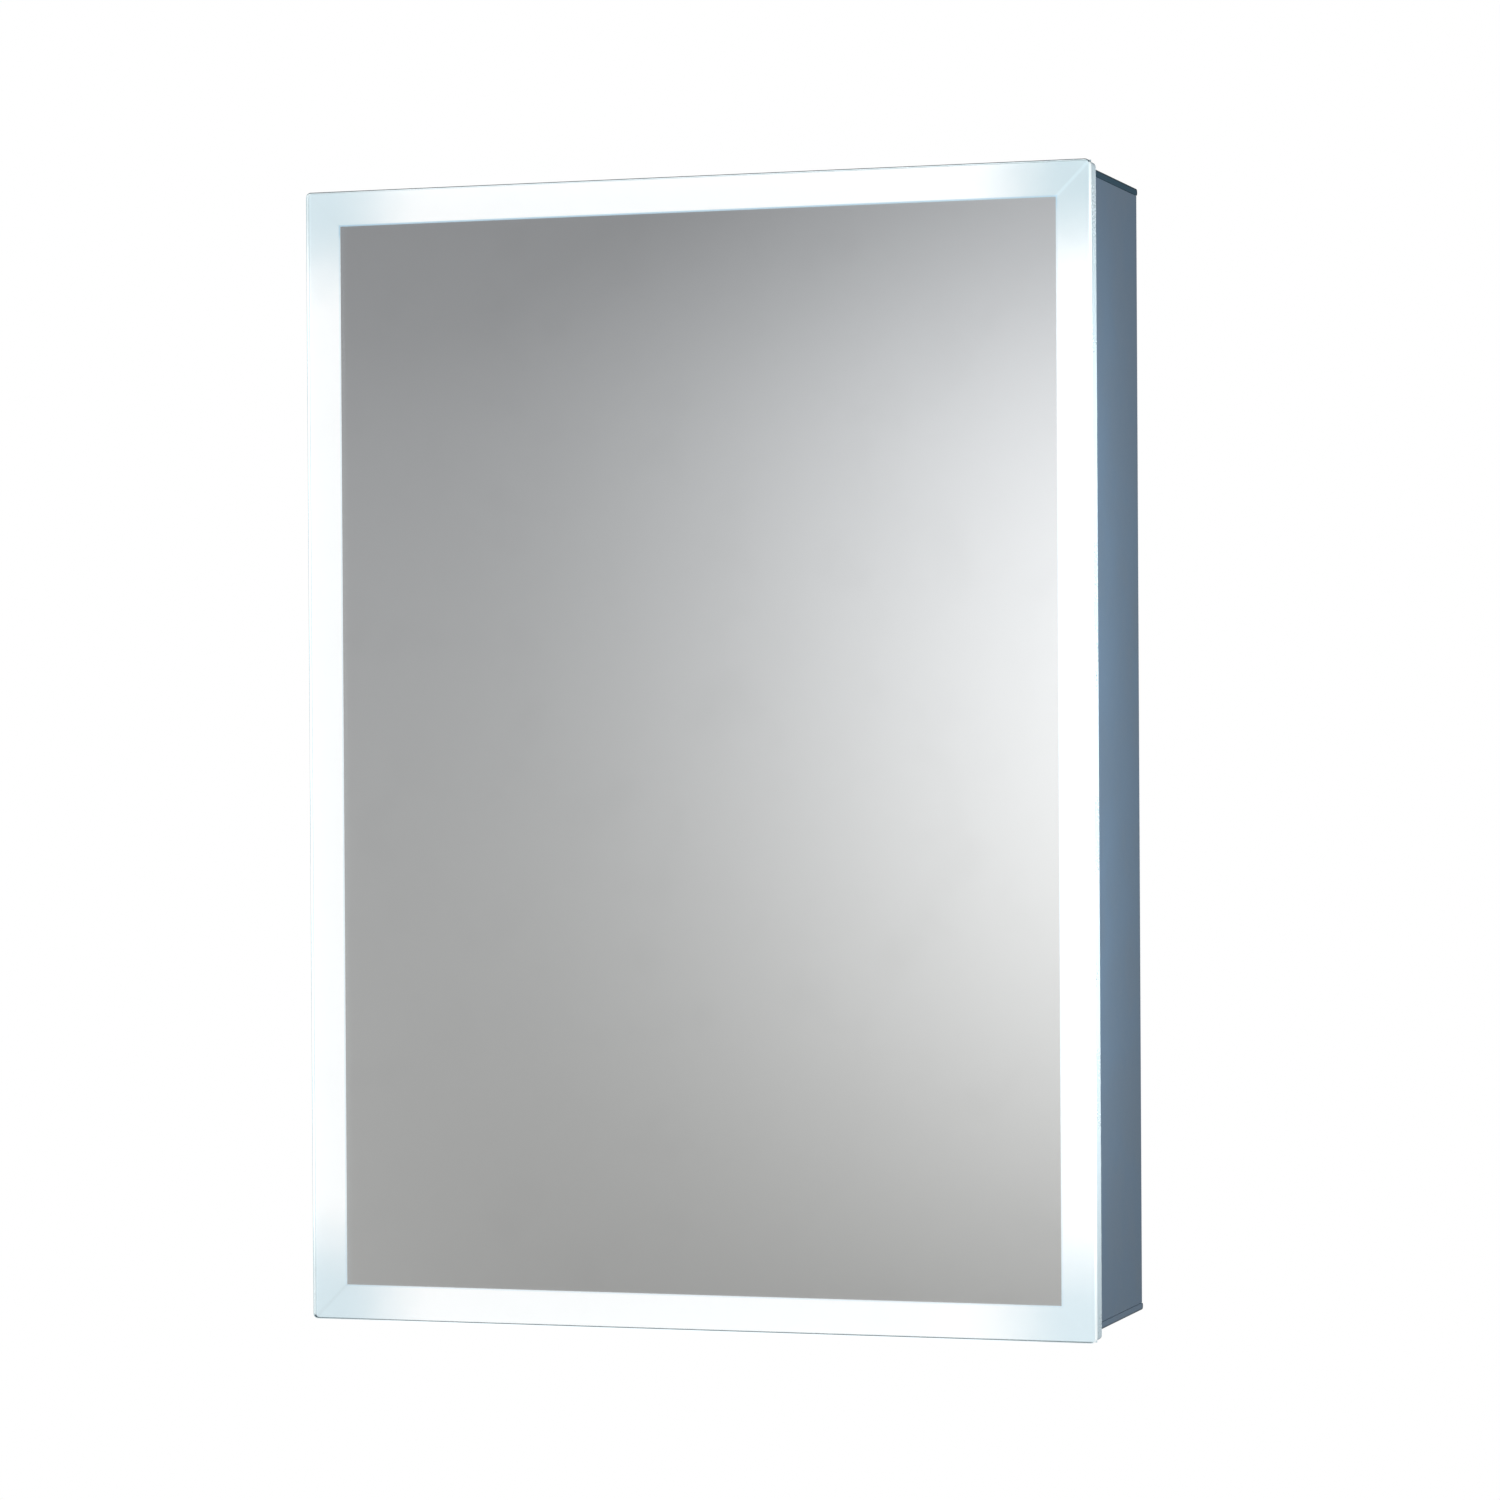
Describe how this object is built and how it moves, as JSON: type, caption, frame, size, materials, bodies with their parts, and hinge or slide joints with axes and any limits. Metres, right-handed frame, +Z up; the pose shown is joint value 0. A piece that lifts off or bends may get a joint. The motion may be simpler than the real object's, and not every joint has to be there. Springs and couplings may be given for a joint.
{
  "type": "medicine cabinet with mirror",
  "caption": "Wall-hung bathroom medicine cabinet: a mirror door with a lit frosted border swings on a continuous hinge in front of a shallow metal case with glass shelves.",
  "frame": {"origin": "centre of the cabinet's rear face, on the wall", "axes": "+Z up, +Y into the wall, -Y towards the user, +X to the right of someone who faces the mirror"},
  "size_m": [0.5011, 0.136, 0.7],
  "materials": {
    "body": "satin anodised, blue-grey",
    "dark_body": "satin anodised, dark teal",
    "liner": "satin anodised, natural",
    "steel": "galvanised",
    "nickel": "nickel plated",
    "frame": "fine satin anodised, pale blue-grey",
    "mirror": "silvered glass",
    "inside_mirror": "silvered glass",
    "door_glass": "polished float glass, border ground matt at the back",
    "shelf_glass": "polished float glass, green edge",
    "diffuser": "opal, lit from the edge",
    "led_strip": "white solder mask",
    "heating_film": "printed film",
    "white_plastic": "fine texture",
    "black_plastic": "fine texture",
    "rubber": "matt",
    "silicone": "clear and soft",
    "lens": "dark, polished"
  },
  "bodies": {
    "cabinet": {"top_panel": "dark_body", "bottom_panel": "body", "side_panel_left": "body", "side_panel_right": "body", "side_liner_left": "liner", "side_liner_right": "liner", "rear_panel": "steel", "back_mirror": "inside_mirror", "shelf_lower": "shelf_glass", "shelf_middle": "shelf_glass", "shelf_upper": "shelf_glass", "shelf_lower_pin_left_front": "nickel", "shelf_lower_pin_left_rear": "nickel", "shelf_lower_pin_right_front": "nickel", "shelf_lower_pin_right_rear": "nickel", "shelf_middle_pin_left_front": "nickel", "shelf_middle_pin_left_rear": "nickel", "shelf_middle_pin_right_front": "nickel", "shelf_middle_pin_right_rear": "nickel", "shelf_upper_pin_left_front": "nickel", "shelf_upper_pin_left_rear": "nickel", "shelf_upper_pin_right_front": "nickel", "shelf_upper_pin_right_rear": "nickel", "service_cover": "liner", "socket_plate": "white_plastic", "socket_housing": "white_plastic", "led_driver": "white_plastic", "terminal_block": "white_plastic", "cable_grommet": "rubber", "hanging_bracket_left": "steel", "hanging_bracket_right": "steel", "hanging_hook_left": "steel", "hanging_hook_right": "steel", "sensor_housing": "white_plastic", "sensor_lens": "lens", "bumper_upper": "silicone", "bumper_lower": "silicone", "catch_magnet": "black_plastic", "hinge_leaf_body": "nickel", "hinge_pin": "nickel"},
    "door": {"door_glass": "door_glass", "mirror_backing": "mirror", "demister_pad": "heating_film", "inner_mirror": "inside_mirror", "strike_plate": "steel", "hinge_leaf_door": "nickel", "frame_profile_left": "frame", "diffuser_left": "diffuser", "led_strip_left": "led_strip", "frame_profile_right": "frame", "diffuser_right": "diffuser", "led_strip_right": "led_strip", "frame_profile_top": "frame", "diffuser_top": "diffuser", "led_strip_top": "led_strip", "frame_profile_bottom": "frame", "diffuser_bottom": "diffuser", "led_strip_bottom": "led_strip"}
  },
  "joints": [
    {"name": "door_swing", "type": "hinge", "parent": "cabinet", "child": "door", "pos_m": [-0.2492, -0.1172, 0], "axis": [0, 0, -1], "range_deg": [0, 170]}
  ]
}
